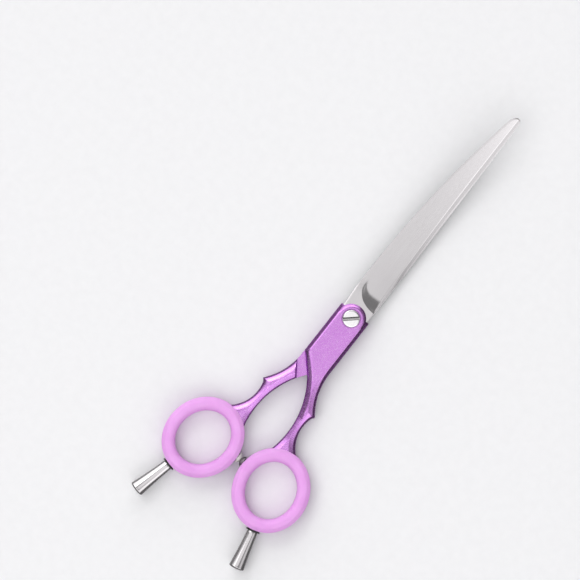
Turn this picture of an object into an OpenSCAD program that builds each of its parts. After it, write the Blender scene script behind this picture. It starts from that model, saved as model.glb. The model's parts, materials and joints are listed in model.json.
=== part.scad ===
// Curved grooming shears, closed: two mirrored halves on one tension screw.
// Worked out about the pivot axis, with z = 0 on the plane that the two halves slide along,
// +Y towards the tips and +Z towards the screw head. The last step moves the origin to the
// middle of the shears' resting box.

/* [Halves] */
// Height from the slide plane to the outer face of each handle
half_thk = 3.6; // [3.2:0.1:4.4]
// Gap from the slide plane to each handle's lapped face
lap_gap = 0.2; // [0.1:0.05:0.4]
// Gap from the slide plane to each blade's inner face
blade_gap = 0.06; // [0.04:0.01:0.1]
// Thickness of the blade tang and shoulder
tang_thk = 1.9; // [1.6:0.1:2.2]

/* [Blades] */
// Distance from the pivot to the blade tips
blade_len = 95.5; // [80:0.5:110]
// Half width of the closed blades at their widest
blade_half_w = 5.9; // [5:0.1:7]
// Radius of the upward curve of the blades
curve_r = 300; // [200:10:600]
// Distance from the pivot at which the upward curve starts
curve_start = 20; // [15:1:30]
// Radius of the top blade's spine in plan
spine_r = 431; // [380:1:500]
// Thickness of the ground blade on its centre line near the pivot
ground_thk = 1.35; // [1.2:0.05:1.6]
// Thickness of the ground blade on its centre line at the tip
tip_thk = 0.9; // [0.8:0.05:1.2]
// Slope of the ground face from the spine down to the cutting edge, in degrees
grind_tilt = 5.2; // [3:0.1:6]

/* [Handles] */
// Width of the handle at the pivot
boss_w = 12.6; // [12:0.1:14]
// How far the side walls reach past the pivot
wall_end = 2.5; // [1:0.1:4]
// Radius of the rounded cover over the pivot
cover_r = 5.5; // [5:0.1:5.8]
// Width of the bevel round the outer face
bevel_w = 0.9; // [0.5:0.1:1.2]
// Half height of the shank where it meets the ring
shank_half = 2.5; // [2.4:0.1:3.2]

/* [Rings] */
// Distance of each ring's centre from the handles' middle line
ring_x = 15.85; // [15:0.05:18]
// Distance of the ring centres behind the pivot
ring_y = 67.9; // [60:0.1:75]
// Lean of the ring's long axis, in degrees
ring_lean = 14; // [8:1:18]
// Half of the insert's outer length and width
insert_out = [15.8, 14.3];
// Half of the finger hole's length and width
hole_half = [10.8, 9.3];
// Half height of the metal ring
ring_half = 2.0; // [1.6:0.1:2.4]

/* [Finger rests] */
// Length of a finger rest beyond its washer
rest_len = 14.6; // [12:0.1:18]
// Diameter of a finger rest at its base
rest_base_d = 3.9; // [3.4:0.1:4.4]
// Diameter of a finger rest at its flared end
rest_end_d = 5.8; // [5:0.1:7]

/* [Pivot] */
// Diameter of the screw head
head_d = 6.5; // [6:0.1:7]
// Width of the screwdriver slot
slot_w = 1.2; // [0.8:0.1:1.4]
// Direction of the slot, in degrees from +X
slot_angle = 42; // [0:1:180]
// Radial running clearance of the screw's shoulder and thread
run_gap = 0.05; // [0.02:0.01:0.1]

/* [Bumper] */
// Distance of the bumper behind the pivot
bumper_y = 65.8; // [60:0.1:70]
// Diameter of the bumper's two cones at their wide ends
buffer_d = 4.4; // [4:0.1:5]

/* [Hidden] */
eps = 0.01;
big = 60;
steps = 9;
lilac = [0.76, 0.52, 0.83];
pink = [0.90, 0.62, 0.92];
steel = [0.80, 0.80, 0.82];
chrome = [0.86, 0.86, 0.88];

// Blade plan: straight up to bow_y, then the top blade's spine bows to the right
bow_y = 18;
shoulder_half = 5.4;
shoulder_y = 2.7;
bottom_spine_slope = 0.0181;
bottom_spine_y = 26;
edge_start = [4.95, 8];
tip_x = 3.3;
edge_r = 1577;
hidden_edge_x = 4.9;
hidden_edge_y = 12;
hidden_edge_r = 510;

// Tang inside the handle
tang_half = 4.6;
tang_end = 18;
tang_top = blade_gap + tang_thk + 0.04;
rivet_y = [-7.5, -14];
rivet_head_r = 2;
rivet_r = 1.2;
rivet_proud = 0.02;

// Handle plan: arcs of the inner edge, the flare above the spur, and the waist below it
corner_y = 19.5;
crotch = [0, -26.2];
inner_c = [-26.65, -47.5];
inner_r = 34.1;
flare_y = 21;
flare_r = 25;
spur = [12.1, -37];
waist_c = [24.3, -42];
waist_r = 13.7;
shoulder_out = [7.1, -23.7];
shoulder_angle = 52.8;

// Rings: the metal band inside the insert's channel
insert_wall = 1.6;
band_out = insert_out - [0.3, 0.3];
band_in = hole_half + [insert_wall, insert_wall];
lip_round = 0.9;
oval_n = 60;

// Finger rests, along their own axis from the ring's centre
seat_t = 15.85;
washer_thk = 0.55;
rest_t = seat_t + washer_thk;
stud_len = 2.6;
stud_r = 1.2;
rest_dome = 0.6;
rest_end_y = ring_y + (rest_t + rest_len + rest_dome) * cos(ring_lean);

// Pivot stack
bush_r = 2.6;
shoulder_r = 2;
thread_r = 1.5;
sink_z = 2.6;
head_gap = 0.02;
washer_z = 0.22;
head_h = 0.98;
slot_depth = 0.6;
bore_gap = 0.02;
slide_washer_r = 4.2;
slide_washer_sink = 0.3;
insert_bottom = -3;

// Bumper, along X
seat_x = [-2.2, -1.25];
rubber_x = 0;
strike_tip = 0.05;
strike_x = [1.25, 2.2];
buffer_tip_r = 1;
stub_len = 0.7;
stub_r = 0.8;
seat_r = 1.55;
pin_r = 0.9;
pin_reach = 4;

// Origin at the middle of the underside of the whole box
origin = [0, (rest_end_y - blade_len) / 2, half_thk];

// Points along an arc, both ends included
function arc(c, r, a0, a1, n = steps) =
  [for (i = [0:n]) c + r * [cos(a0 + (a1 - a0) * i / n), sin(a0 + (a1 - a0) * i / n)]];

// Points of an oval ring outline, long axis along Y
function oval(half) =
  [for (i = [0:oval_n - 1]) [half[1] * cos(i * 360 / oval_n), half[0] * sin(i * 360 / oval_n)]];

// Rise of the slide surface at distance r from the pivot
function rise(r) = r < curve_start ? 0 : curve_r - sqrt(pow(curve_r, 2) - pow(r - curve_start, 2));

// Plan positions of the blade borders at distance y from the pivot
function top_spine(y) = -blade_half_w + (y < bow_y ? 0 : pow(y - bow_y, 2) / (2 * spine_r));
function bottom_spine(y) =
  y < bottom_spine_y ? blade_half_w - 0.25 : blade_half_w - 0.25 - bottom_spine_slope * (y - bottom_spine_y);
function hidden_edge(y) =
  -hidden_edge_x + (y < hidden_edge_y ? 0 : pow(y - hidden_edge_y, 2) / (2 * hidden_edge_r));
function top_edge(y) =
  let (f = (y - edge_start[1]) / (blade_len - edge_start[1]))
  edge_start[0] + (tip_x - edge_start[0]) * f
    - f * (1 - f) * pow(blade_len - edge_start[1], 2) / (2 * edge_r);

// Angle of a point seen from a centre
function angle_at(c, p) = atan2(p[1] - c[1], p[0] - c[0]);

// The solid between two heights above the slide surface, thinning towards the tip
module layer(low, high, low_tip, high_tip) {
  reach = blade_len + 8;
  radii = concat([0], [for (i = [0:steps]) curve_start + (reach - curve_start) * i / steps]);
  share = function(r) max(0, (r - curve_start) / (reach - curve_start));
  lower = [for (r = radii) [r, rise(r) + low + (low_tip - low) * share(r)]];
  upper = [for (i = [len(radii) - 1:-1:0])
    let (r = radii[i]) [r, rise(r) + high + (high_tip - high) * share(r)]];
  rotate_extrude($fn = 96) polygon(concat(lower, upper));
}

module top_blade_plan() {
  side = [for (i = [0:steps + 3]) 12 + (93 - 12) * i / (steps + 3)];
  spine = [for (y = side) [top_spine(y), y]];
  edge = [for (i = [len(side) - 1:-1:0]) [top_edge(side[i]), side[i]]];
  polygon(concat(
    [[-shoulder_half, shoulder_y], [-shoulder_half - 0.35, 8]], spine,
    [[1.1, 94.3], [2.4, 95.3], [tip_x - 0.3, blade_len], [tip_x, blade_len - 0.3]], edge,
    [[edge_start[0], edge_start[1]], [shoulder_half, 6.8], [shoulder_half, shoulder_y]]
  ));
}

module bottom_blade_plan() {
  side = [for (i = [0:steps + 3]) 12 + (93 - 12) * i / (steps + 3)];
  spine = [for (i = [len(side) - 1:-1:0]) [bottom_spine(side[i]), side[i]]];
  edge = [for (y = side) [hidden_edge(y), y]];
  polygon(concat(
    [[-shoulder_half, shoulder_y], [-shoulder_half, 6.8], [-hidden_edge_x, 8]], edge,
    [[1.9, 94.6], [2.8, 95.3], [3.4, blade_len], [4.1, 95.1]], spine,
    [[shoulder_half + 0.2, 8], [shoulder_half, shoulder_y]]
  ));
}

// Full-thickness part of a blade: the tang in the handle and the shoulder ahead of it
module tang_plan() {
  translate([-tang_half, -tang_end + tang_half]) square([2 * tang_half, tang_end + shoulder_y - tang_half]);
  translate([0, tang_half - tang_end]) circle(r = tang_half, $fn = 64);
}

module shoulder_plan() {
  intersection() {
    children();
    translate([-big, 0]) square([2 * big, 7.6]);
  }
}

module rivet_holes() {
  for (y = rivet_y) translate([0, y, -eps]) {
    cylinder(r = rivet_r, h = big, $fn = 32);
    cylinder(r1 = rivet_head_r, r2 = rivet_r, h = rivet_head_r - rivet_r + eps, $fn = 32);
  }
}

module top_blade() {
  color(steel) difference() {
    union() {
      intersection() {
        linear_extrude(big / 3) top_blade_plan();
        layer(blade_gap, big / 2, blade_gap, big / 2);
        rotate([0, grind_tilt, 0]) layer(-big / 2, ground_thk, -big / 2, tip_thk);
      }
      translate([0, 0, blade_gap]) linear_extrude(tang_thk) tang_plan();
      translate([0, 0, blade_gap]) linear_extrude(tang_thk) shoulder_plan() top_blade_plan();
    }
    translate([0, 0, -1]) cylinder(r = bush_r + bore_gap, h = tang_thk + 3, $fn = 64);
    translate([0, 0, blade_gap]) rivet_holes();
  }
}

module bottom_blade() {
  color(steel) difference() {
    union() {
      intersection() {
        translate([0, 0, -half_thk]) linear_extrude(big / 3) bottom_blade_plan();
        layer(-big / 2, -blade_gap, -big / 2, -blade_gap);
        rotate([0, grind_tilt, 0]) layer(-ground_thk, big / 2, -tip_thk, big / 2);
      }
      translate([0, 0, -blade_gap - tang_thk]) linear_extrude(tang_thk) tang_plan();
      translate([0, 0, -blade_gap - tang_thk]) linear_extrude(tang_thk) shoulder_plan() bottom_blade_plan();
    }
    translate([0, 0, -tang_thk - 1]) cylinder(r = bush_r + bore_gap, h = tang_thk + 3, $fn = 64);
    translate([0, 0, -blade_gap - slide_washer_sink]) cylinder(r = slide_washer_r + 0.1, h = 1, $fn = 64);
    translate([0, 0, -blade_gap]) rotate([0, 180, 0]) rivet_holes();
  }
}

// Plan of a handle from the pivot to inside its ring, drawn inset by d for the bevelled face
module handle_plan(d) {
  inner_a0 = angle_at(inner_c, crotch);
  waist_a0 = angle_at(waist_c, [spur[0], spur[1] - 1]);
  half = boss_w / 2 - d;
  flare_c = [boss_w / 2 + flare_r, -flare_y];
  polygon(concat(
    [[-half, wall_end], [-half, -corner_y + d / 2]],
    arc(inner_c, inner_r + d, inner_a0, -14),
    [[9, -58], [14, -57]],
    arc(waist_c, waist_r + d, 223, waist_a0),
    [spur - [1.4 * d, 0]],
    arc(flare_c, flare_r + d, 220.5, 180),
    [[half, wall_end]]
  ));
}

// The side of the shoulder line where the shank has its full height
module shank_side() {
  translate(shoulder_out) rotate(shoulder_angle) translate([-big, -2 * big]) square([2 * big, 2 * big]);
}

// Places its children at the ring's centre, turned to the ring's long axis
module at_ring() {
  translate([ring_x, -ring_y, 0]) rotate([0, 0, ring_lean]) children();
}

// Places its children with +Z along the finger rest, from the ring's centre outwards
module at_rest() {
  at_ring() rotate([90, 0, 0]) children();
}

// Sloped cut that brings the shank's outer face down from the pivot end to the ring
module shank_slope() {
  run = 53 - 26;
  drop = half_thk - shank_half;
  translate([-big, -26, half_thk]) rotate([atan(drop / run), 0, 0])
    translate([0, -2 * big, 0]) cube([2 * big, 2 * big, big / 3]);
}

// One handle, screw side up, with its ring on the right; sink is the depth of its pivot bore
module handle(sink) {
  difference() {
    union() {
      difference() {
        union() {
          translate([0, 0, lap_gap]) linear_extrude(tang_top - lap_gap) handle_plan(0);
          translate([0, 0, tang_top]) linear_extrude(half_thk - tang_top) {
            handle_plan(bevel_w);
            circle(r = cover_r, $fn = 96);
          }
          translate([0, 0, -half_thk]) linear_extrude(half_thk + lap_gap) intersection() {
            handle_plan(0);
            shank_side();
          }
        }
        shank_slope();
        mirror([0, 0, 1]) shank_slope();
        at_ring() translate([0, 0, -big / 2]) linear_extrude(big) polygon(oval(insert_out + [0.05, 0.05]));
      }
      difference() {
        translate([0, 0, -ring_half]) linear_extrude(2 * ring_half) intersection() {
          handle_plan(0);
          shank_side();
          translate([0, -62]) square([big, 16]);
        }
        at_ring() translate([0, 0, -big / 2]) linear_extrude(big) polygon(oval(band_in));
      }
      at_ring() translate([0, 0, -ring_half]) linear_extrude(2 * ring_half) difference() {
        polygon(oval(band_out));
        polygon(oval(band_in));
      }
      at_rest() translate([0, 0, seat_t - 2]) cylinder(r = ring_half - 0.1, h = 2, $fn = 48);
    }
    translate([0, tang_half - tang_end, 0]) cylinder(r = tang_half + bore_gap, h = tang_top, $fn = 64);
    translate([-tang_half - bore_gap, tang_half - tang_end, 0])
      cube([2 * (tang_half + bore_gap), tang_end, tang_top]);
    translate([0, 0, -1]) cylinder(r = bush_r + bore_gap, h = sink + 1, $fn = 64);
    for (y = rivet_y) translate([0, y, 0]) cylinder(r = rivet_r, h = 3, $fn = 32);
    at_rest() cylinder(r = stud_r + run_gap, h = big / 2, $fn = 32);
    at_bumper(0) cylinder(r = pin_r, h = pin_reach, $fn = 32);
    at_bumper(0) cylinder(r = seat_r + bore_gap, h = strike_x[1], $fn = 48);
  }
}

module top_handle() {
  color(lilac) difference() {
    handle(half_thk);
    translate([0, 0, sink_z]) cylinder(d = head_d + 0.4, h = 3, $fn = 64);
  }
}

module bottom_handle() {
  color(lilac) rotate([0, 180, 0]) handle(-insert_bottom);
}

// Soft insert: an outward-facing channel that hugs the metal ring
module ring_insert() {
  soft_top = half_thk - lip_round;
  at_ring() difference() {
    hull() {
      translate([0, 0, -soft_top]) linear_extrude(2 * soft_top) polygon(oval(insert_out));
      translate([0, 0, -half_thk]) linear_extrude(2 * half_thk)
        polygon(oval(insert_out - [lip_round, lip_round]));
    }
    translate([0, 0, -big / 2]) linear_extrude(big) polygon(oval(hole_half));
    for (side = [0, 1]) mirror([0, 0, side]) hull() {
      translate([0, 0, soft_top - 0.6]) linear_extrude(eps) polygon(oval(hole_half));
      translate([0, 0, half_thk]) linear_extrude(eps) polygon(oval(hole_half + [lip_round, lip_round]));
    }
    translate([0, 0, -ring_half]) linear_extrude(2 * ring_half) difference() {
      circle(r = big / 2, $fn = 64);
      polygon(oval(band_in));
    }
  }
}

module top_ring_insert() {
  color(pink) ring_insert();
}

module bottom_ring_insert() {
  color(pink) rotate([0, 180, 0]) ring_insert();
}

// A pair of countersunk rivets, heads a hair proud of the tang's inner face
module tang_rivets() {
  for (y = rivet_y) translate([0, y, blade_gap]) {
    cylinder(r1 = rivet_head_r - bore_gap, r2 = rivet_r - bore_gap, h = rivet_head_r - rivet_r, $fn = 32);
    translate([0, 0, -rivet_proud]) cylinder(r = rivet_head_r - bore_gap, h = rivet_proud + eps, $fn = 32);
    cylinder(r = rivet_r - bore_gap, h = 3 - blade_gap, $fn = 32);
  }
}

module top_tang_rivets() {
  color(steel) tang_rivets();
}

module bottom_tang_rivets() {
  color(steel) rotate([0, 180, 0]) tang_rivets();
}

module threaded_insert() {
  top = -blade_gap - slide_washer_sink;
  color("goldenrod") translate([0, 0, insert_bottom]) difference() {
    cylinder(r = bush_r, h = top - insert_bottom, $fn = 64);
    translate([0, 0, -1]) cylinder(r = thread_r + run_gap, h = 5, $fn = 64);
  }
}

module pivot_bushing() {
  low = 2 * blade_gap;
  color("white") translate([0, 0, low]) difference() {
    cylinder(r = bush_r, h = sink_z - low, $fn = 64);
    translate([0, 0, -1]) cylinder(r = shoulder_r + run_gap, h = 5, $fn = 64);
  }
}

module bearing_washer() {
  color("gold") translate([0, 0, -blade_gap - slide_washer_sink]) difference() {
    cylinder(r = slide_washer_r, h = slide_washer_sink + 1.4 * blade_gap, $fn = 64);
    translate([0, 0, -1]) cylinder(r = bush_r + 0.1, h = 3, $fn = 64);
  }
}

module tension_washer() {
  color("silver") translate([0, 0, sink_z + head_gap]) difference() {
    cylinder(d = head_d, h = washer_z, $fn = 64);
    translate([0, 0, -1]) cylinder(r = shoulder_r + 0.1, h = 3, $fn = 64);
  }
}

module pivot_screw() {
  head_z = sink_z + head_gap + washer_z;
  seat = -blade_gap - slide_washer_sink + head_gap;
  color(chrome) difference() {
    union() {
      translate([0, 0, insert_bottom + 0.2]) cylinder(r = thread_r, h = seat - insert_bottom, $fn = 64);
      translate([0, 0, seat]) cylinder(r = shoulder_r, h = head_z - seat + eps, $fn = 64);
      translate([0, 0, head_z]) cylinder(d = head_d, h = head_h - 0.3, $fn = 64);
      translate([0, 0, head_z + head_h - 0.3]) cylinder(d1 = head_d, d2 = head_d - 0.8, h = 0.3, $fn = 64);
    }
    translate([0, 0, head_z + head_h - slot_depth]) rotate([0, 0, slot_angle])
      translate([-head_d, -slot_w / 2, 0]) cube([2 * head_d, slot_w, 2]);
  }
}

// Turned finger rest: stud, slim waist, flared end with a shallow dome
module finger_rest() {
  base_r = rest_base_d / 2;
  flare = rest_end_d / 2 - base_r;
  side = [for (i = [0:8]) let (f = i / 8) [base_r + flare * (0.45 * f + 0.55 * f * f), rest_len * f]];
  dome = [for (i = [1:4]) let (a = i * 22.5) [rest_end_d / 2 * cos(a), rest_len + rest_dome * sin(a)]];
  color(chrome) translate([0, 0, rest_t]) rotate_extrude($fn = 64)
    polygon(concat([[0, -washer_thk - stud_len], [stud_r, -washer_thk - stud_len], [stud_r, 0]], side, dome));
}

module rest_washer() {
  color([0.08, 0.08, 0.08]) translate([0, 0, seat_t]) difference() {
    cylinder(r = 2.65, h = washer_thk - head_gap, $fn = 64);
    translate([0, 0, -1]) cylinder(r = stud_r + run_gap, h = 3, $fn = 64);
  }
}

module top_finger_rest() {
  at_rest() finger_rest();
}

module bottom_finger_rest() {
  rotate([0, 180, 0]) at_rest() finger_rest();
}

module top_rest_washer() {
  at_rest() rest_washer();
}

module bottom_rest_washer() {
  rotate([0, 180, 0]) at_rest() rest_washer();
}

// A turned shape along +X at the bumper's place
module at_bumper(x) {
  translate([x, -bumper_y, 0]) rotate([0, 90, 0]) children();
}

module bumper_seat() {
  color(chrome) difference() {
    union() {
      at_bumper(seat_x[0]) cylinder(r = seat_r, h = seat_x[1] - seat_x[0], $fn = 48);
      at_bumper(-pin_reach) cylinder(r = pin_r - bore_gap, h = pin_reach + seat_x[0] + eps, $fn = 32);
    }
    at_bumper(seat_x[1] - stub_len - bore_gap) cylinder(r = stub_r, h = 2, $fn = 32);
  }
}

module bumper_rubber() {
  color([0.6, 0.6, 0.6]) union() {
    at_bumper(seat_x[1]) cylinder(d1 = buffer_d, r2 = buffer_tip_r, h = rubber_x - seat_x[1], $fn = 48);
    at_bumper(seat_x[1] - stub_len) cylinder(r = stub_r - bore_gap, h = stub_len + eps, $fn = 32);
  }
}

module strike_pin() {
  color(chrome) {
    at_bumper(strike_tip) cylinder(r1 = buffer_tip_r, d2 = buffer_d, h = strike_x[0] - strike_tip, $fn = 48);
    at_bumper(strike_x[0] - eps) cylinder(r = 1.5, h = strike_x[1] - strike_x[0] + eps, $fn = 48);
    at_bumper(strike_x[1] - eps) cylinder(r = pin_r - bore_gap, h = pin_reach - strike_x[1], $fn = 32);
  }
}

// Moves a finished piece from the pivot to the shears' own origin
module place() {
  translate(origin) children();
}

place() bottom_blade();
place() top_blade();
place() bottom_handle();
place() top_handle();
place() bottom_ring_insert();
place() top_ring_insert();
place() bottom_tang_rivets();
place() top_tang_rivets();
place() threaded_insert();
place() pivot_bushing();
place() bearing_washer();
place() tension_washer();
place() pivot_screw();
place() bottom_finger_rest();
place() top_finger_rest();
place() bottom_rest_washer();
place() top_rest_washer();
place() bumper_seat();
place() bumper_rubber();
place() strike_pin();
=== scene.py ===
"""Curved grooming shears: visual pieces, materials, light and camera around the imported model.

Shapes are worked out in millimetres in the pivot's frame: x across, y to the blade tips and z to
the screw head, with z = 0 on the plane between the two halves. to_row() turns them into the
row's metres. The bottom half is the top half turned over about y, apart from its blade.
"""

import json
from math import asin, cos, degrees, hypot, pi, radians, sin, sqrt

import bmesh
import bpy
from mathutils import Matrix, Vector


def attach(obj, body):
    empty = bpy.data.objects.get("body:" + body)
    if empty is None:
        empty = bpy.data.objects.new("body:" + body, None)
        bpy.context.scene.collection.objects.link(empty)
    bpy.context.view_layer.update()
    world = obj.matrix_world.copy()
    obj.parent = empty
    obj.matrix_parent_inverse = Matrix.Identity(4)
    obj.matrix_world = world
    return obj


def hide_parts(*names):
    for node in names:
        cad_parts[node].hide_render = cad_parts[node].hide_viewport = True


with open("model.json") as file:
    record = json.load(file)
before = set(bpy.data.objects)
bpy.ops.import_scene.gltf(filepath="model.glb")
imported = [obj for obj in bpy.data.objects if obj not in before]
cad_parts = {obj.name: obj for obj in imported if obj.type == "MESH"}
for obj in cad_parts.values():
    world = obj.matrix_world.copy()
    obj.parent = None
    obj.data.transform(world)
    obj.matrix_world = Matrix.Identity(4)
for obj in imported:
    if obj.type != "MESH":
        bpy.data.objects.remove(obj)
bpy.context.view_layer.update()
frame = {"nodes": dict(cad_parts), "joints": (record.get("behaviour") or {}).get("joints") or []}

MM = 0.001
PIVOT = Vector(next(j["pos_m"] for j in frame["joints"] if j["name"] == "blade_pivot"))

# Heights above the slide plane
FACE_Z = 3.6
LAP_Z = 0.2
BLADE_Z = 0.06
TANG_TOP = 1.96
COVER_UNDER_Z = 2.0
WALL_STEP_Z = 1.4
RIM_LEAST_Z = 0.1

# Handle plan
BOSS_HALF = 6.3
WALL_END = 2.5
COVER_R = 5.5
CORNER_Y = -19.5
CROTCH_Y = -26.2
INNER_C, INNER_R = (-26.65, -47.5), 34.1
FLARE_Y, FLARE_R = -21.0, 25.0
SPUR, SPUR_FLANK = (12.1, -37.0), 0.9
WAIST_C, WAIST_R = (24.3, -42.0), 13.7
WAIST_END = -54.5
SHOULDER = (-29.5, -23.7)
SHANK_END_Z = 2.4

# Rings
RING_C = (15.85, -67.9)
RING_LEAN = radians(14)
HOLE = (10.8, 9.3)
BAND_IN, BAND_OUT, BAND_HALF = 1.62, 4.7, 1.98
BAND_ROUND = 0.35

# Blades
TIP_Y = 95.5
EDGE_START = 8
TOP_SPINE_X, TOP_EDGE_X = -5.95, 4.95
BOTTOM_SPINE_X, BOTTOM_EDGE_X = 5.65, -4.9
EDGE_TAPER, EDGE_HOLLOW = 1.65, 2.4
CURVE_START, CURVE_R = 20.0, 300.0
SPINE_CHAMFER, EDGE_CHAMFER = (0.75, 0.24), (0.22, 0.07)
EDGE_T, TIP_EDGE_T = 0.28, 0.2
WEDGE_MOST, WEDGE_SLOPE = 1.58, 0.13

# Screw slot
SLOT_TURN, SLOT_HALF, SLOT_FLOOR_Z, HEAD_RIM_Z = 42, 0.64, 3.5, 3.66

# Bumper and finger rests
BUMPER_Y = -65.8
REST_T = 16.4
REST_LEN = 14.6


def to_row(point, flip):
    """A point of the pivot's frame in the row's metres, turned over about y for the bottom half."""
    x, y, z = point
    if flip:
        x, z = -x, -z
    return PIVOT + Vector((x, y, z)) * MM


def loop_faces(rows, size, first, closed):
    """Quads between successive closed loops of the same size."""
    faces = []
    for i in range(rows if closed else rows - 1):
        for j in range(size):
            a, b = first + i * size, first + (i + 1) % rows * size
            faces.append((a + j, a + (j + 1) % size, b + (j + 1) % size, b + j))
    return faces


class Shell:
    """Collects closed shells of one piece as points in millimetres and faces."""

    def __init__(self):
        self.points, self.faces = [], []

    def loops(self, loops, closed=False):
        """Skins a list of closed loops, with flat caps unless the list itself closes up."""
        first, size = len(self.points), len(loops[0])
        for loop in loops:
            self.points.extend(loop)
        self.faces += loop_faces(len(loops), size, first, closed)
        if not closed:
            last = first + (len(loops) - 1) * size
            self.faces.append(tuple(range(first, first + size)))
            self.faces.append(tuple(range(last, last + size)))

    def lathe(self, profile, place, count=64, closed=False):
        """Turns (radius, height) pairs about a local z axis; place() maps local points."""
        turn = [2 * pi * k / count for k in range(count)]
        self.loops([[place((r * cos(a), r * sin(a), z)) for a in turn] for r, z in profile], closed)

    def mesh(self, name, flip=False, sharp=32):
        """The collected shells as a mesh object with smooth faces and sharp edges by angle."""
        data = bpy.data.meshes.new(name)
        data.from_pydata([to_row(p, flip) for p in self.points], [], self.faces)
        tidy_mesh(data, sharp)
        piece = bpy.data.objects.new(name, data)
        bpy.context.scene.collection.objects.link(piece)
        return piece


def tidy_mesh(data, sharp=32):
    """Welds doubles, drops flat faces, points normals outwards and marks sharp edges."""
    bm = bmesh.new()
    bm.from_mesh(data)
    bmesh.ops.remove_doubles(bm, verts=bm.verts, dist=2e-6)
    bmesh.ops.dissolve_degenerate(bm, edges=bm.edges, dist=1e-7)
    bmesh.ops.recalc_face_normals(bm, faces=bm.faces)
    bm.to_mesh(data)
    bm.free()
    data.shade_smooth()
    data.set_sharp_from_angle(angle=radians(sharp))


def carve(piece, cutter):
    """Cuts one mesh out of another and keeps the result as the piece's own mesh."""
    cut = piece.modifiers.new("cut", "BOOLEAN")
    cut.operation, cut.solver, cut.object = "DIFFERENCE", "EXACT", cutter
    bpy.context.view_layer.update()
    evaluated = piece.evaluated_get(bpy.context.evaluated_depsgraph_get())
    result = bpy.data.meshes.new_from_object(evaluated)
    piece.modifiers.clear()
    piece.data = result
    tidy_mesh(result)
    bpy.data.objects.remove(cutter)


def soften(piece, width, segments=2, angle=35):
    """A small machined edge round on every sharp edge."""
    bevel = piece.modifiers.new("edge_round", "BEVEL")
    bevel.width, bevel.segments = width * MM, segments
    bevel.limit_method, bevel.angle_limit = "ANGLE", radians(angle)
    bevel.harden_normals = True


def finish_piece(piece, body, slot, material, *nodes):
    """Puts a piece on its body, gives it its material and hides the CAD nodes that it stands for."""
    piece.data.materials.clear()
    piece.data.materials.append(material)
    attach(piece, body)
    if nodes:
        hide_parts(*nodes)


# ---------------------------------------------------------------- handles


def inner_x(y):
    """The handle's inner edge: boss side, the lapped diagonal, then one long arc to the ring."""
    if y > CORNER_Y:
        return -BOSS_HALF
    if y > CROTCH_Y:
        return -BOSS_HALF + BOSS_HALF * (CORNER_Y - y) / (CORNER_Y - CROTCH_Y)
    return INNER_C[0] + sqrt(INNER_R**2 - (y - INNER_C[1]) ** 2)


def waist_x(y):
    """The hollow of the outer edge between the spur and the ring."""
    return WAIST_C[0] - sqrt(WAIST_R**2 - (max(y, WAIST_END) - WAIST_C[1]) ** 2)


def outer_x(y):
    """The handle's outer edge: boss side, the flare to the spur, then the waist to the ring."""
    if y > FLARE_Y:
        return BOSS_HALF
    if y >= SPUR[1]:
        return BOSS_HALF + FLARE_R - sqrt(FLARE_R**2 - (y - FLARE_Y) ** 2)
    if y > SPUR[1] - SPUR_FLANK:
        down = (SPUR[1] - y) / SPUR_FLANK
        return SPUR[0] + (waist_x(SPUR[1] - SPUR_FLANK) - SPUR[0]) * down
    return waist_x(y)


def mitres(chain, inward):
    """Inset directions along a chain, lengthened at corners so that every side moves alike."""
    result = []
    for i in range(len(chain)):
        sides = []
        for a, b in ((i - 1, i), (i, i + 1)):
            if 0 <= a and b < len(chain):
                dx, dy = chain[b][0] - chain[a][0], chain[b][1] - chain[a][1]
                size = hypot(dx, dy)
                sides.append((-dy / size * inward, dx / size * inward))
        (ax, ay), (bx, by) = sides[0], sides[-1]
        share = 1 + ax * bx + ay * by
        result.append(((ax + bx) / share, (ay + by) / share))
    return result


def smooth_step(value, low, high):
    """0 up to low, 1 from high on, and an easy rise between them."""
    f = min(1.0, max(0.0, (value - low) / (high - low)))
    return f * f * (3 - 2 * f)


def plateau(value, start, full, full_end, end):
    """Rises from 0 to 1 between start and full, and falls back between full_end and end."""
    return smooth_step(value, start, full) * (1 - smooth_step(value, full_end, end))


# Rims of the outer face as (inset, depth below the face), from the wall's foot to the flat face:
# narrow ones beside the boss and over the pivot, then one for each border of the shank, with a
# broad facet that is steeper on the inner border
BOSS_RIM = [
    (0.0, 2.7), (0.5, 1.35), (0.75, 0.82), (0.95, 0.48),
    (1.15, 0.24), (1.35, 0.1), (1.55, 0.03), (1.8, 0.0),
]
COVER_RIM = [
    (0.0, 1.4), (0.0, 1.0), (0.2, 0.76), (0.42, 0.52),
    (0.64, 0.3), (0.86, 0.13), (1.05, 0.04), (1.3, 0.0),
]
OUTER_RIM = [
    (0.0, 2.2), (0.3, 1.3), (0.52, 0.94), (0.74, 0.68),
    (0.95, 0.5), (2.05, 0.13), (2.4, 0.03), (2.75, 0.0),
]
INNER_RIM = [
    (0.0, 2.2), (0.2, 1.5), (0.36, 1.17), (0.52, 0.97),
    (0.7, 0.83), (1.7, 0.25), (1.92, 0.11), (2.15, 0.0),
]
# How a shank rim is fitted: the part of its depth that stays when it narrows, the most of the
# shank's width that it takes, its scale where there is room, and where it starts to take over
INNER_FIT = (INNER_RIM, 0.2, 0.4, 0.9, 17)
OUTER_FIT = (OUTER_RIM, 0.6, 0.56, 1.0, 20)
FIT_LENGTH = 7
# Insets of the flat face that slides in the lap
UNDER_INSET = [0.25, 0.6, 0.9, 1.2, 1.5, 1.8, 2.1]
# How far the underside falls short of its full depth beyond the shoulder, and at which shares of
# the way to the spur
SHOULDER_RIM = [3.2, 0.55, 0.24, 0.07, 0.01]
SHOULDER_STEPS = [0.027, 0.04, 0.056, 0.076]
# Distances below the pivot: where the rims run with the oblique shoulder's sections, and where the
# face comes down to the thinner shank
OBLIQUE_RANGE = (20, 24, 28, 33)
FACE_FALL = (24, 52)
# A rim point that is nearer to the spur than its inset over this moves with the spur
SPUR_SPREAD = 1.07
FACE_COLUMNS = 6


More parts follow.
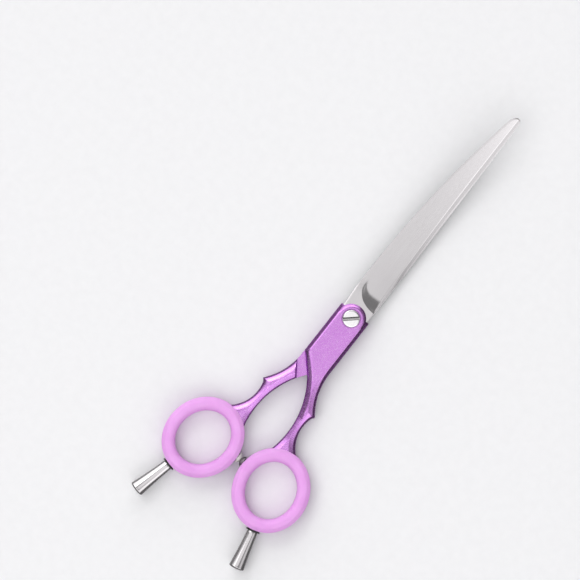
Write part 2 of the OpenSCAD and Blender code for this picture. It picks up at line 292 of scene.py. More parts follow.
def across(start, end):
    """Points between two face edges, both left out."""
    steps = range(1, FACE_COLUMNS)
    return [tuple(a + (b - a) * k / FACE_COLUMNS for a, b in zip(start, end)) for k in steps]


def section(inner, outer, inner_under, outer_under):
    """One closed loop round the handle: inner rim, face, outer rim, underside."""
    loop = inner + across(inner[-1], outer[-1]) + outer[::-1]
    return loop + outer_under + across(outer_under[-1], inner_under[-1]) + inner_under[::-1]


def on_cover(angle, inset=0.0):
    """A point on the cover's round border, or inside it."""
    return (COVER_R - inset) * cos(radians(angle)), (COVER_R - inset) * sin(radians(angle))


def cover_section(angle, foot, under_z, wall_z):
    """A section whose rim meets the cover at an angle and whose walls stand on a foot point."""
    sides = []
    for sign in (-1, 1):
        rim = [(foot[0] * sign, foot[1], z) for z in (under_z, wall_z)]
        for inset, depth in COVER_RIM[1:]:
            x, y = on_cover(angle, inset)
            rim.append((x * sign, y, FACE_Z - depth))
        shrink = [max(0.0, 1 - inset / COVER_R) for inset in UNDER_INSET]
        sides.append((rim, [(foot[0] * sign * k, foot[1] * k, under_z) for k in shrink]))
    (inner, inner_under), (outer, outer_under) = sides
    return section(inner, outer, inner_under, outer_under)


def rounded_end_sections():
    """The cover's round end over the pivot, and the square ends of the side walls beside it."""
    end_angle = degrees(asin(WALL_END / COVER_R))
    sections = []
    for k in range(17):
        angle = 90 + (end_angle - 90) * k / 16
        sections.append(cover_section(angle, on_cover(angle), COVER_UNDER_Z, FACE_Z - COVER_RIM[0][1]))
    sections.append(cover_section(end_angle, on_cover(end_angle), LAP_Z, WALL_STEP_Z))
    for k in range(6):
        left = 1 - k / 5
        foot = (BOSS_HALF, WALL_END * left)
        sections.append(cover_section(end_angle * left, foot, LAP_Z, FACE_Z - BOSS_RIM[0][1]))
    return sections


def shank_stations():
    """Paired heights on the inner and outer edges, from the boss to inside the ring, and the
    shoulder's place among them."""
    keys = [(-0.8, -0.8), (CORNER_Y, -18.5), (CROTCH_Y, -22.3), SHOULDER,
            (-39.4, SPUR[1]), (-46.5, -45.0), (-55.5, -52.6)]
    counts = [11, 10, 5, 18, 12, 10]
    pairs = [keys[0]]
    for leg, ((a, b), (c, d), n) in enumerate(zip(keys, keys[1:], counts)):
        steps = [k / n for k in range(1, n + 1)]
        if leg == 3:  # the one past the shoulder, where the underside rounds down first
            steps = SHOULDER_STEPS + [0.1 + 0.9 * k / n for k in range(n + 1)]
        pairs += [(a + (c - a) * f, b + (d - b) * f) for f in steps]
    return pairs, sum(counts[:3])


def handle_sections():
    """Sections of the casting from the round end to inside the ring. Up to the shoulder they end
    at the lap, and beyond it the underside has the same rims as the face."""
    sections = rounded_end_sections()
    pairs, shoulder_at = shank_stations()
    inner = [(inner_x(a), a) for a, _ in pairs]
    outer = [(outer_x(b), b) for _, b in pairs]
    inner_n, outer_n = mitres(inner, 1), mitres(outer, -1)
    spur_at = min(range(len(outer)), key=lambda i: abs(outer[i][1] - SPUR[1]))

    def moved(i, chain, normals, inset):
        """A chain point moved inwards: along its mitre, or along the section beside the oblique
        shoulder. Close to the spur it runs into the spur's own mitre."""
        from_spur = hypot(chain[i][0] - SPUR[0], chain[i][1] - SPUR[1])
        if chain is outer and from_spur * SPUR_SPREAD < inset:
            i = spur_at
        (x, y), (nx, ny) = chain[i], normals[i]
        rx, ry = outer[i][0] - inner[i][0], outer[i][1] - inner[i][1]
        along = (nx * nx + ny * ny) / (nx * rx + ny * ry)
        middle = -(inner[i][1] + outer[i][1]) / 2
        share = plateau(middle, *OBLIQUE_RANGE)
        nx, ny = nx + (rx * along - nx) * share, ny + (ry * along - ny) * share
        return x + nx * inset, y + ny * inset

    def rim(i, chain, normals, table, held, scale, blend, face_z, sign):
        points = []
        for (d0, h0), (d1, h1) in zip(BOSS_RIM, table):
            inset = (d0 + (d1 - d0) * blend) * scale
            depth = (h0 + (h1 - h0) * blend) * (held + (1 - held) * scale)
            points.append(moved(i, chain, normals, inset) + (sign * max(RIM_LEAST_Z, face_z - depth),))
        return points

    for i, (inner_p, outer_p) in enumerate(zip(inner, outer)):
        width = hypot(outer_p[0] - inner_p[0], outer_p[1] - inner_p[1])
        middle = (inner_p[1] + outer_p[1]) / 2
        face_z = FACE_Z + (SHANK_END_Z - FACE_Z) * smooth_step(-middle, *FACE_FALL)
        sides = []
        for chain, normals, fit in ((inner, inner_n, INNER_FIT), (outer, outer_n, OUTER_FIT)):
            table, held, share, limit, start = fit
            blend = smooth_step(-chain[i][1], start, start + FIT_LENGTH)
            reach = BOSS_RIM[-1][0] + (table[-1][0] - BOSS_RIM[-1][0]) * blend
            scale = min(1 + (limit - 1) * blend, share * width / reach)
            sides.append((chain, normals, table, held, scale, blend))

        def side(full, chain, normals, table, held, scale, blend):
            foot = chain[i] + (0.0 if full else LAP_Z,)
            top = [foot] + rim(i, chain, normals, table, held, scale, blend, face_z, 1)
            if full:
                step = i - shoulder_at
                below = face_z - (SHOULDER_RIM[step] if step < len(SHOULDER_RIM) else 0)
                return top, rim(i, chain, normals, table, held, scale, blend, below, -1)[1:]
            return top, [moved(i, chain, normals, d) + (LAP_Z,) for d in UNDER_INSET]

        for full in ([False, True] if i == shoulder_at else [i > shoulder_at]):
            (ri, ui), (ro, uo) = (side(full, *one) for one in sides)
            sections.append(section(ri, ro, ui, uo))
    return sections


def at_ring(local):
    """A point given along the ring's short and long axes, from the ring's centre."""
    x, y, z = local
    c, s = cos(RING_LEAN), sin(RING_LEAN)
    return (RING_C[0] + x * c - y * s, RING_C[1] + x * s + y * c, z)


def oval_loops(profile, count=128):
    """A closed profile of (distance outside the finger hole, z) carried round the oval."""
    loops = []
    for k in range(count):
        c, s = cos(2 * pi * k / count), sin(2 * pi * k / count)
        loops.append([at_ring(((HOLE[1] + t) * c, (HOLE[0] + t) * s, z)) for t, z in profile])
    return loops


def at_rest(local):
    """A point of a finger rest, its local z running outwards from the ring's centre."""
    x, y, z = local
    return at_ring((x, -z, y))


def at_bumper(local):
    """A point turned about the bumper's axis, its local z running along x."""
    x, y, z = local
    return (z, BUMPER_Y + y, x)


def arc_points(centre, radius, start, end, count):
    """Points of an arc, both ends included, with its angles in degrees."""
    angles = [radians(start + (end - start) * k / count) for k in range(count + 1)]
    return [(centre[0] + radius * cos(a), centre[1] + radius * sin(a)) for a in angles]


def handle(name, flip):
    """The casting, its ring band, the boss for the finger rest and the screw's counterbore."""
    shell = Shell()
    shell.loops(handle_sections())
    corner_z = BAND_HALF - BAND_ROUND
    band = [(BAND_IN, 0)] + arc_points((BAND_IN + BAND_ROUND, corner_z), BAND_ROUND, 180, 90, 3)
    band += arc_points((BAND_OUT - BAND_ROUND, corner_z), BAND_ROUND, 90, 0, 5)
    band += [(t, -z) for t, z in band[:0:-1]]
    shell.loops(oval_loops(band), closed=True)
    shell.lathe([(1.9, 13.8), (1.9, 15.7), (1.75, 15.84)], at_rest, 48)
    piece = shell.mesh(name, flip)
    if not flip:
        cutter = Shell()
        cutter.lathe([(3.45, 2.55), (3.45, 3.45), (3.66, 3.66), (3.66, 4.5)], lambda p: p, 96)
        carve(piece, cutter.mesh("counterbore"))
    soften(piece, 0.07)
    return piece


# ---------------------------------------------------------------- ring inserts


def ring_insert(name, flip):
    """Soft channel: round towards the finger, lips over both faces of the metal ring."""
    half = [(0.0, 0.0), (0.0, 1.2)]
    half += arc_points((2.2, 1.4), 2.2, 180, 90, 10)
    half += arc_points((3.0, 2.0), 1.6, 84, 40, 5)
    half += arc_points((4.55, 2.5), 0.45, 40, -90, 6)
    half += [(BAND_IN + 0.15, BAND_HALF + 0.06), (BAND_IN, BAND_HALF - 0.1)]
    profile = half + [(t, -z) for t, z in half[:0:-1]]
    shell = Shell()
    shell.loops(oval_loops(profile, 144), closed=True)
    return shell.mesh(name, flip, sharp=60)


# ---------------------------------------------------------------- blades


def rise(x, y):
    """Height of the slide surface, which curves up away from the pivot."""
    r = hypot(x, y)
    return 0.0 if r < CURVE_START else CURVE_R - sqrt(CURVE_R**2 - (r - CURVE_START) ** 2)


def bend(y, start, radius):
    """How far a border has come in that curves from a height on."""
    return max(0.0, y - start) ** 2 / (2 * radius)


def ricasso(y):
    """How far the unsharpened shoulder stands out past the start of the cutting edge."""
    return 0.5 * (1 - smooth_step(y, 6.2, EDGE_START))


def tip_round(y, start, length):
    """The share of its depth that a tip's rounding has reached, like a quarter of an ellipse."""
    part = max(0.0, (y - start) / length)
    return 1 - sqrt(1 - part * part)


def top_borders(y):
    """Spine and cutting edge of the top blade in plan."""
    share = max(0.0, (y - EDGE_START) / (TIP_Y - EDGE_START))
    spine = TOP_SPINE_X + bend(y, 18, radius=431) + 0.5 * (1 - smooth_step(y, 2, 11))
    edge = TOP_EDGE_X - EDGE_TAPER * share - EDGE_HOLLOW * share * (1 - share) + ricasso(y)
    return spine + 2.0 * tip_round(y, 92.5, 3.02), edge - 0.35 * max(0.0, (y - 94.7) / 0.8) ** 2


def bottom_borders(y):
    """Spine and cutting edge of the bottom blade in plan."""
    tip = tip_round(y, 93.2, 2.32)
    spine = BOTTOM_SPINE_X - 0.0181 * max(0.0, y - 26) - 0.25 * (1 - smooth_step(y, 2, 9))
    edge = BOTTOM_EDGE_X + bend(y, 12, radius=510) - ricasso(y)
    return spine - 1.0 * tip, edge + 1.6 * tip


# Where the ground face starts, as (distance towards the cutting edge, height along the blade)
PLUNGE = [(-6.0, 30.0), (-5.0, 19.0), (-4.3, 14.7), (-3.8, 12.0), (-3.0, 10.5), (-2.0, 9.15), (-1.0, 8.3),
          (0.0, 7.7), (2.0, 6.98), (3.6, 6.74), (6.0, 6.6)]
# Height along the blade where the run-out of the wheel ends, and the heights between which it
# fades out along the spine
COVE_END = 11.3
COVE_FADE = (8.5, 15)
# Where the bottom blade's strip leans outwards, and by how much
STRIP_RANGE, STRIP_TILT = (16, 26, 50, 66), 0.24


def plunge_y(x):
    """Where the ground face starts, straight between the points of PLUNGE."""
    for (x0, y0), (x1, y1) in zip(PLUNGE, PLUNGE[1:]):
        if x <= x1:
            f = max(0.0, (x - x0) / (x1 - x0))
            return y0 + (y1 - y0) * f
    return PLUNGE[-1][1]


def smooth_plunge(x):
    """The start line rounded by averaging."""
    near = [plunge_y(x + 0.25 * k) for k in range(-2, 3)]
    return sum(near) / len(near)


def blade_thickness(x, y, share, width):
    """Full at the shoulder, hollowed past the start line, then a wedge from spine to edge."""
    full = TANG_TOP - BLADE_Z
    edge_t = EDGE_T + (TIP_EDGE_T - EDGE_T) * smooth_step(y, 15, 95)
    spine_t = edge_t + min(WEDGE_MOST, WEDGE_SLOPE * width + 0.1)
    ground = spine_t + (edge_t - spine_t) * share**1.15
    start = smooth_plunge(x)
    past = (y - start) / (max(COVE_END - start, 0.0) + 0.6 + 0.5 * max(0.0, start - 8.0))
    left = (1 - past) ** 2 if 0 < past < 1 else float(past <= 0)
    beside_spine = 1 - smooth_step(x, -4.5, -2.6)
    left += (1 - smooth_step(y, *COVE_FADE) - left) * beside_spine
    thick = ground + (full - ground) * left
    for gap, (chamfer, drop) in ((share * width, SPINE_CHAMFER), ((1 - share) * width, EDGE_CHAMFER)):
        if gap < chamfer:
            thick -= min(drop * (1 - gap / chamfer), thick * 0.6)
    return thick


def blade_shares():
    """Places across the blade, closer together at both borders."""
    fine = [0.0, 0.008, 0.02, 0.04, 0.07]
    middle = [0.07 + 0.86 * k / 26 for k in range(1, 26)]
    return fine + middle + [1 - f for f in fine[::-1]]


def blade_stations():
    """Places along the blade, closer together at the run-out and at the tip."""
    start = [2.0 + 0.4 * k for k in range(10)]
    cove = [6.0 + 0.25 * k for k in range(60)]
    body = [21.0 + 1.0 * k for k in range(70)]
    tip = [91.0, 91.8, 92.5, 93.1, 93.7, 94.2, 94.6, 94.95, 95.2, 95.36, 95.45, TIP_Y - 0.005]
    return start + cove + body + tip


def strip_fall(x, y):
    """How far the bottom blade's sliding face falls away outside the top blade's cutting edge."""
    tilt = STRIP_TILT * plateau(y, *STRIP_RANGE)
    chamfer = 0.45 * max(0.0, x - bottom_borders(y)[0] + 0.32)
    return tilt * max(0.0, x - top_borders(y)[1] + 0.2) + chamfer


def blade_shell(shell, borders, mirrored, up):
    """One blade: ground outer face, side walls and the face that slides on the other blade."""
    loops = []
    for y in blade_stations():
        spine, edge = borders(y)
        outer, inner = [], []
        for share in blade_shares():
            x = spine + (edge - spine) * share
            towards_edge = -x if mirrored else x
            slide = rise(x, y) + BLADE_Z * up - (strip_fall(x, y) if mirrored else 0.0)
            outer.append((x, y, slide + up * blade_thickness(towards_edge, y, share, abs(edge - spine))))
            inner.append((x, y, slide))
        loops.append(outer + inner[::-1])
    shell.loops(loops)


def tang_shell(shell, up):
    """The flat tang held in the handle, with its round end."""
    plan = arc_points((0, -13.4), 4.55, 180, 360, 24) + [(4.55, 2.4), (-4.55, 2.4)]
    shell.loops([[(x, y, up * z) for x, y in plan] for z in (BLADE_Z, TANG_TOP)])


def blade(name, borders, mirrored, up):
    """A blade with its tang. It lies over the slide plane when up is 1 and under it when -1."""
    shell = Shell()
    blade_shell(shell, borders, mirrored, up)
    tang_shell(shell, up)
    return shell.mesh(name, sharp=40)


# ---------------------------------------------------------------- small pieces


def pivot_screw():
    """Slightly crowned head with a cut slot, and its shoulder and thread below."""
    shell = Shell()
    profile = [(0.001, -2.6), (1.5, -2.6), (1.5, -0.34), (2.0, -0.34), (2.0, 2.84), (3.0, 2.84),
               (3.2, 3.0), (3.2, 3.4), (3.16, 3.52), (3.05, 3.62), (2.88, 3.69)]
    crown = [radians(a) for a in (35, 50, 62, 74, 84, 89.9)]
    profile += [(3.25 * cos(a), 3.62 + 0.16 * sin(a)) for a in crown]
    shell.lathe(profile, lambda p: p, 96)
    piece = shell.mesh("slotted_screw", sharp=30)
    turn = radians(SLOT_TURN)
    angles = [radians(a) for a in range(195, 360, 15)]
    floor_arc = [(SLOT_HALF * cos(a), SLOT_FLOOR_Z + 0.5 * sin(a)) for a in angles]
    cut = [(-SLOT_HALF, 4.6), (-SLOT_HALF, SLOT_FLOOR_Z)]
    cut += floor_arc + [(SLOT_HALF, SLOT_FLOOR_Z), (SLOT_HALF, 4.6)]
    box = Shell()
    box.loops([[(u * cos(turn) - v * sin(turn), u * sin(turn) + v * cos(turn), z) for v, z in cut]
               for u in (-4.5, 4.5)])
    carve(piece, box.mesh("slot_cutter"))
    soften(piece, 0.05)
    return piece


def finger_rest(name, flip):
    """Turned rest: small fillet at the base, slim waist, flared end with a shallow dome."""
    foot_r, foot_t, flare = 1.98, REST_T + 0.25, 0.9
    profile = [(0.001, 13.6), (1.15, 13.6), (1.2, 13.7), (1.2, REST_T), (1.8, REST_T)]
    profile += [(1.93, REST_T + 0.08), (foot_r, foot_t)]
    for k in range(1, 21):
        f = k / 20
        profile.append((foot_r + flare * (0.42 * f + 0.58 * f * f), foot_t + (REST_LEN - 0.55) * f))
    end = REST_T + REST_LEN
    profile += [(2.9, end - 0.18), (2.87, end - 0.06), (2.78, end + 0.03)]
    dome = [radians(a) for a in (10, 22, 35, 50, 65, 80, 89.9)]
    profile += [(2.7 * cos(a), end + 0.05 + 0.5 * sin(a)) for a in dome]
    shell = Shell()
    shell.lathe(profile, at_rest, 96)
    return shell.mesh(name, flip, sharp=35)


def rest_washer(name, flip):
    """Rubber washer between the ring's boss and the finger rest, round at its outer corners."""
    outer, inner, low, high, round_r = 2.65, 1.25, 15.86, 16.39, 0.16
    profile = arc_points((outer - round_r, low + round_r), round_r, -90, 0, 4)
    profile += arc_points((outer - round_r, high - round_r), round_r, 0, 90, 4)
    profile += [(inner, high), (inner, low)]
    shell = Shell()
    shell.lathe(profile, at_rest, closed=True)
    return shell.mesh(name, flip)


def bumper_pieces():
    """The stop between the rings: a metal seat with a rubber cone, and the button it meets."""
    post = Shell()
    post.lathe([(0.001, -3.9), (0.88, -3.9), (0.88, -2.2), (1.48, -2.2), (1.54, -2.12), (1.54, -1.34),
                (1.47, -1.26), (0.001, -1.255)], at_bumper, 64)
    cone = [(2.0, -1.25), (2.12, -1.21), (2.19, -1.12), (2.19, -1.02), (2.12, -0.9), (1.85, -0.62),
            (1.5, -0.36), (1.2, -0.18), (1.0, -0.07), (0.85, -0.015), (0.001, 0.0)]
    disc = Shell()
    disc.lathe([(0.001, -1.25)] + cone, at_bumper, 64)
    pin = Shell()
    pin.lathe([(0.001, 3.9), (0.88, 3.9), (0.88, 2.2), (1.45, 2.2), (1.5, 2.12), (1.5, 1.25)]
              + [(r, 0.05 - z) for r, z in cone], at_bumper, 64)
    return post.mesh("bumper_post"), disc.mesh("bumper_disc", sharp=50), pin.mesh("strike_button", sharp=50)


# ---------------------------------------------------------------- materials


class Surface:
    """A Principled material with helpers for the procedural nodes that feed it."""

    def __init__(self, name, **sockets):
        self.material = bpy.data.materials.new(name)
        self.material.use_nodes = True
        self.nodes, self.links = self.material.node_tree.nodes, self.material.node_tree.links
        self.shader = next(n for n in self.nodes if n.type == "BSDF_PRINCIPLED")
        for key, value in sockets.items():
            self.shader.inputs[key.replace("_", " ")].default_value = value
        self.place = self.nodes.new("ShaderNodeTexCoord").outputs["Object"]

    def stretched(self, scale):
        """Object coordinates stretched by a vector, for grain that runs one way."""
        mapping = self.nodes.new("ShaderNodeMapping")
        mapping.inputs["Scale"].default_value = scale
        self.links.new(self.place, mapping.inputs["Vector"])
        return mapping.outputs["Vector"]

    def noise(self, vector, scale, detail=4.0, roughness=0.55):
        node = self.nodes.new("ShaderNodeTexNoise")
        node.inputs["Scale"].default_value = scale
        node.inputs["Detail"].default_value = detail
        node.inputs["Roughness"].default_value = roughness
        self.links.new(vector, node.inputs["Vector"])
        return node.outputs["Fac"]

    def flakes(self, scale):
        """Cells with a random value each, for metallic flake."""
        node = self.nodes.new("ShaderNodeTexVoronoi")
        node.inputs["Scale"].default_value = scale
        self.links.new(self.place, node.inputs["Vector"])
        split = self.nodes.new("ShaderNodeSeparateColor")
        self.links.new(node.outputs["Color"], split.inputs["Color"])
        return split.outputs["Red"]

    def ramp(self, value, stops):
        node = self.nodes.new("ShaderNodeValToRGB")
        element = node.color_ramp.elements
        while len(element) < len(stops):
            element.new(0.5)
        for slot, (place, colour) in zip(element, stops):
            slot.position, slot.color = place, colour + (1.0,)
        self.links.new(value, node.inputs["Fac"])
        return node.outputs["Color"]

    def spread(self, value, low, high, from_low=0.3, from_high=0.7):
        node = self.nodes.new("ShaderNodeMapRange")
        limits = {"From Min": from_low, "From Max": from_high, "To Min": low, "To Max": high}
        for key, number in limits.items():
            node.inputs[key].default_value = number
        self.links.new(value, node.inputs["Value"])
        return node.outputs["Result"]

    def mix(self, factor, first, second):
        node = self.nodes.new("ShaderNodeMix")
        node.data_type = "RGBA"
        self.links.new(factor, node.inputs[0])
        self.links.new(first, node.inputs[6])
        self.links.new(second, node.inputs[7])
        return node.outputs[2]

    def feed(self, socket, value):
        self.links.new(value, self.shader.inputs[socket])

    def bump(self, height, strength, distance_mm):
        node = self.nodes.new("ShaderNodeBump")
        node.inputs["Strength"].default_value = strength
        node.inputs["Distance"].default_value = distance_mm * MM
        self.links.new(height, node.inputs["Height"])
        self.feed("Normal", node.outputs["Normal"])


def handle_metal():
    """Light purple metallic coating: slow tone change, fine bright flake, faint orange peel."""
    s = Surface("handle_metal", Metallic=0.97, Coat_Weight=0.22, Coat_Roughness=0.1)
    s.shader.inputs["Specular Tint"].default_value = (0.5, 0.16, 0.6, 1.0)
    slow = s.noise(s.place, 160, 3)
    tone = s.ramp(slow, [(0.3, (0.57, 0.24, 0.67)), (0.7, (0.61, 0.27, 0.71))])
    flake = s.flakes(5200)
    bright = s.ramp(flake, [(0.80, (0.0, 0.0, 0.0)), (0.97, (0.5, 0.5, 0.5))])
    sparkle = s.ramp(slow, [(0.3, (0.80, 0.52, 0.88)), (0.7, (0.88, 0.60, 0.94))])
    s.feed("Base Color", s.mix(bright, tone, sparkle))
    s.feed("Roughness", s.spread(flake, 0.22, 0.34, 0.0, 1.0))
    s.bump(s.noise(s.place, 4200, 2), 0.08, 0.02)
    return s.material


def ring_silicone():
    """Satin silicone: soft depth, faint mottling and a fine moulded skin."""
    s = Surface("ring_silicone", Subsurface_Weight=0.25, Subsurface_Scale=0.002, Specular_IOR_Level=0.45)
    s.shader.inputs["Subsurface Radius"].default_value = (1.0, 0.5, 0.9)
    slow = s.noise(s.place, 130, 4)
    s.feed("Base Color", s.ramp(slow, [(0.3, (0.675, 0.31, 0.70)), (0.7, (0.73, 0.36, 0.755))]))
    skin = s.noise(s.place, 2600, 5)
    s.feed("Roughness", s.spread(skin, 0.40, 0.56))
    s.bump(skin, 0.12, 0.03)
    return s.material


def blade_steel(name, painted_shade):
    """Ground stainless steel: fine scratches along the blade and a slow cloudiness. The factor in the
    second argument darkens all its colours, as painted shade."""
    s = Surface(name, Metallic=1.0, Anisotropic=0.2)
    lines = s.noise(s.stretched((1.0, 0.02, 1.0)), 5200, 5, 0.6)
    cloud = s.noise(s.place, 50, 3)

    def tones(dark, light):
        dark, light = (tuple(painted_shade * c for c in tone) for tone in (dark, light))
        return s.ramp(lines, [(0.3, dark), (0.7, light)])

    fine = tones((0.555, 0.535, 0.545), (0.60, 0.585, 0.595))
    soft = tones((0.575, 0.555, 0.565), (0.62, 0.605, 0.615))
    s.feed("Base Color", s.mix(cloud, fine, soft))
    s.feed("Roughness", s.spread(lines, 0.17, 0.24))
    s.bump(lines, 0.025, 0.006)
    return s.material


def turned_metal(name, colour, low, high, metallic=1.0):
    """Polished or turned metal with hairline finish marks."""
    s = Surface(name, Metallic=metallic)
    marks = s.noise(s.place, 3000, 5, 0.6)
    dim = tuple(c * 0.93 for c in colour)
    s.feed("Base Color", s.ramp(marks, [(0.3, dim), (0.7, colour)]))
    s.feed("Roughness", s.spread(marks, low, high))
    s.bump(marks, 0.03, 0.005)
    return s.material


def screw_metal():
    """The screw's polish, with painted shade below the head's rim: darker down into the slot and on the
    head's side, darkest along the slot's left wall.
    """
    s = Surface("screw_metal", Metallic=0.9)
    marks = s.noise(s.place, 3000, 5, 0.6)
    polish = s.ramp(marks, [(0.3, (0.80, 0.79, 0.80)), (0.7, (0.88, 0.87, 0.88))])
    over = s.nodes.new("ShaderNodeMapping")
    over.vector_type = "TEXTURE"
    over.inputs["Location"].default_value = PIVOT
    over.inputs["Rotation"].default_value = (0.0, 0.0, radians(SLOT_TURN))
    over.inputs["Scale"].default_value = (MM, MM, MM)
    s.links.new(s.place, over.inputs["Vector"])
    split = s.nodes.new("ShaderNodeSeparateXYZ")
    s.links.new(over.outputs["Vector"], split.inputs["Vector"])
    # Painted shade across the slot: near black along one wall, lighter towards the other
    painted_slot_shade = s.ramp(s.spread(split.outputs["Y"], 1.0, 0.0, -SLOT_HALF, SLOT_HALF), [
        (0.0, (0.02, 0.02, 0.02)), (0.3, (0.08, 0.08, 0.08)),
        (0.5, (0.4, 0.39, 0.39)), (1.0, (0.62, 0.61, 0.61)),
    ])
    # Painted shade by depth: it takes over from the polish between the head's rim and the slot's floor, and
    # fully below the floor
    painted_depth_shade = s.spread(split.outputs["Z"], 1.0, 0.0, SLOT_FLOOR_Z, HEAD_RIM_Z)
    s.feed("Base Color", s.mix(painted_depth_shade, polish, painted_slot_shade))
    s.feed("Roughness", s.spread(marks, 0.12, 0.2))
    s.bump(marks, 0.03, 0.005)
    return s.material


def soft_plain(name, dark, light, low, high, **sockets):
    """Rubber or nylon with a faint mottle and a fine skin."""
    s = Surface(name, **sockets)
    skin = s.noise(s.place, 1800, 5)
    s.feed("Base Color", s.ramp(skin, [(0.3, dark), (0.7, light)]))
    s.feed("Roughness", s.spread(skin, low, high))
    s.bump(skin, 0.15, 0.02)
    return s.material


# ---------------------------------------------------------------- stage


def floor():
    """A plain pale card under the shears, which polished surfaces don't mirror."""
    size, data = 1.5, bpy.data.meshes.new("pale_floor")
    corners = [(-size, -size, 0), (size, -size, 0), (size, size, 0), (-size, size, 0)]
    data.from_pydata(corners, [], [(0, 1, 2, 3)])
    piece = bpy.data.objects.new("pale_floor", data)
    bpy.context.scene.collection.objects.link(piece)
    s = Surface("floor_card", Specular_IOR_Level=0.1)
    grain = s.noise(s.place, 300, 3)
    s.feed("Base Color", s.ramp(grain, [(0.3, (0.74, 0.74, 0.75)), (0.7, (0.76, 0.76, 0.77))]))
    s.feed("Roughness", s.spread(grain, 0.85, 0.95))
    data.materials.append(s.material)
    piece.visible_glossy = False


def studio():
    """The world's light: the soft-edged patches of SOFTBOXES on a faint even ground."""
    world = bpy.data.worlds.new("studio")
    bpy.context.scene.world = world
    world.use_nodes = True
    nodes, links = world.node_tree.nodes, world.node_tree.links
    direction = nodes.new("ShaderNodeTexCoord").outputs["Generated"]

    def lobe(axis, outer, inner, strength):
        """A soft-edged patch of light round an axis, between two angles from it."""
        dot = nodes.new("ShaderNodeVectorMath")
        dot.operation = "DOT_PRODUCT"
        dot.inputs[1].default_value = Vector(axis).normalized()
        links.new(direction, dot.inputs[0])
        fall = nodes.new("ShaderNodeMapRange")
        fall.interpolation_type = "SMOOTHSTEP"
        for key, number in (("From Min", cos(radians(outer))), ("From Max", cos(radians(inner))),
                            ("To Min", 0.0), ("To Max", strength)):
            fall.inputs[key].default_value = number
        links.new(dot.outputs["Value"], fall.inputs["Value"])
        return fall.outputs["Result"]

    total = None
    for patch in SOFTBOXES:
        value = lobe(*patch)
        if total is not None:
            add = nodes.new("ShaderNodeMath")
            links.new(total, add.inputs[0])
            links.new(value, add.inputs[1])
            value = add.outputs["Value"]
        total = value
    base = nodes.new("ShaderNodeMath")
    base.inputs[1].default_value = AMBIENT
    links.new(total, base.inputs[0])
    nodes["Background"].inputs["Color"].default_value = (1.0, 0.995, 1.0, 1.0)
    links.new(base.outputs["Value"], nodes["Background"].inputs["Strength"])


# Patches of light as (direction, angle at which it has faded out, angle up to which it is full,
# strength): the panel overhead and a softer one towards the rings, the softbox on the left, two
# narrow bright ones and a weak fill beside it, two on the right, one to the right of the tips, a
# strip beyond the tips, and two weak ones from below, which lighten the side walls
AMBIENT = 0.05
SOFTBOXES = [
    ((-0.04, -0.5, 1.0), 44, 35, 1.05),
    ((0.0, -0.9, 1.0), 38, 5, 0.36),
    ((-0.82, 0.55, 0.42), 48, 18, 1.7),
    ((-0.64, 0.34, 0.72), 13, 5, 2.4),
    ((-0.69, 0.05, 0.72), 14, 5, 1.5),
    ((-0.8, -0.42, 0.5), 30, 12, 0.12),
    ((0.9, -0.5, 0.62), 34, 14, 1.1),
    ((0.98, 0.05, 0.7), 30, 14, 0.6),
    ((0.6, 0.9, 0.9), 45, 20, 0.22),
    ((-0.3, 0.95, 0.35), 26, 12, 1.2),
    ((-0.9, 0.1, -0.5), 50, 20, 0.1),
    ((0.0, 0.0, -1.0), 64, 40, 0.18),
]


def key_light():
    """A large soft lamp overhead for the floor's shading, left out of the reflections."""
    data = bpy.data.lights.new("overhead_softbox", "AREA")
    data.shape, data.size, data.energy = "DISK", 0.9, 2.2
    aim, place = Vector((0.0, 0.0, 0.0)), Vector((-0.25, -0.25, 1.1))
    lamp = bpy.data.objects.new("overhead_softbox", data)
    lamp.location = place
    lamp.rotation_euler = (aim - place).to_track_quat("-Z", "Y").to_euler()
    lamp.visible_glossy = False
    bpy.context.scene.collection.objects.link(lamp)


def camera():
    """Straight down from far away, turned so that the shears lie on the picture's diagonal."""
    distance, view_width, turn = 2.5, 0.2133, radians(38.18)
    aim = PIVOT + Vector((-24.2, -5.6, 0.0)) * MM
    data = bpy.data.cameras.new("camera")
    data.sensor_width = 36.0
    data.lens = data.sensor_width * distance / view_width
    data.clip_end = 10.0
    piece = bpy.data.objects.new("camera", data)
    piece.location = aim + Vector((0, 0, distance))
    piece.rotation_euler = (0, 0, turn)
    bpy.context.scene.collection.objects.link(piece)
    bpy.context.scene.camera = piece


# ---------------------------------------------------------------- assembly

bpy.context.scene.view_settings.view_transform = "Standard"
camera()
key_light()
studio()
floor()

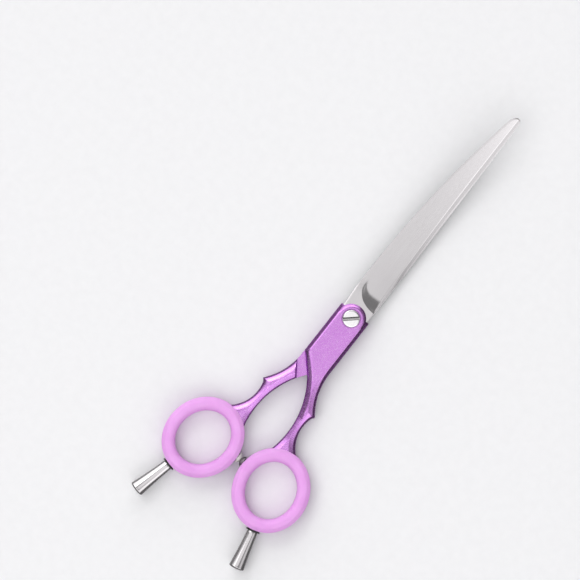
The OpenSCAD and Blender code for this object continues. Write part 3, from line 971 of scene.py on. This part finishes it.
METAL, SILICONE = handle_metal(), ring_silicone()
# The bottom blade's steel is a darkened copy of the same steel: painted shade over the whole blade, seen
# from above as the darker strip beside the top blade's cutting edge
STEEL, SHADED_UNDER_STEEL = blade_steel("blade_steel", 1.0), blade_steel("under_blade_steel_painted_shade", 0.84)
CHROME = turned_metal("polished_metal", (0.67, 0.645, 0.66), 0.10, 0.18, 0.88)
BLACK = soft_plain("washer_rubber", (0.012, 0.012, 0.013), (0.03, 0.03, 0.032), 0.5, 0.7)
PALE = soft_plain("bumper_rubber", (0.68, 0.67, 0.62), (0.78, 0.77, 0.72), 0.12, 0.2, Coat_Weight=1.0)
GUNMETAL = turned_metal("strike_metal", (0.30, 0.29, 0.30), 0.22, 0.34, 0.9)
NYLON = soft_plain("nylon", (0.78, 0.78, 0.75), (0.86, 0.86, 0.83), 0.4, 0.55)
BRASS = turned_metal("brass", (0.80, 0.60, 0.28), 0.18, 0.32)
SPRING = turned_metal("spring_steel", (0.52, 0.52, 0.54), 0.2, 0.32)

for half, flip in (("top", False), ("bottom", True)):
    body = half + "_half"
    finish_piece(handle(half + "_handle_shell", flip), body, "handle_metal", METAL, half + "_handle")
    insert = ring_insert(half + "_insert_soft", flip)
    finish_piece(insert, body, "ring_silicone", SILICONE, half + "_ring_insert")
    rest = finger_rest(half + "_rest_turned", flip)
    finish_piece(rest, half + "_rest", "polished_metal", CHROME, half + "_finger_rest")
    washer = rest_washer(half + "_rest_seal", flip)
    finish_piece(washer, body, "washer_rubber", BLACK, half + "_rest_washer")

top_piece = blade("top_blade_ground", top_borders, False, 1)
finish_piece(top_piece, "top_half", "blade_steel", STEEL, "top_blade")
bottom_piece = blade("bottom_blade_ground", bottom_borders, True, -1)
finish_piece(bottom_piece, "bottom_half", "blade_steel", SHADED_UNDER_STEEL, "bottom_blade")
finish_piece(pivot_screw(), "tension_screw", "polished_metal", screw_metal(), "pivot_screw")
post_piece, disc_piece, pin_piece = bumper_pieces()
finish_piece(post_piece, "bottom_half", "polished_metal", CHROME, "bumper_seat")
finish_piece(disc_piece, "bottom_half", "bumper_rubber", PALE, "bumper_rubber")
finish_piece(pin_piece, "top_half", "polished_metal", GUNMETAL, "strike_pin")

KEPT = {
    "top_tang_rivets": STEEL, "bottom_tang_rivets": STEEL, "threaded_insert": BRASS,
    "pivot_bushing": NYLON, "bearing_washer": NYLON, "tension_washer": SPRING,
}
for node, material in KEPT.items():
    data = frame["nodes"][node].data
    data.materials.clear()
    data.materials.append(material)
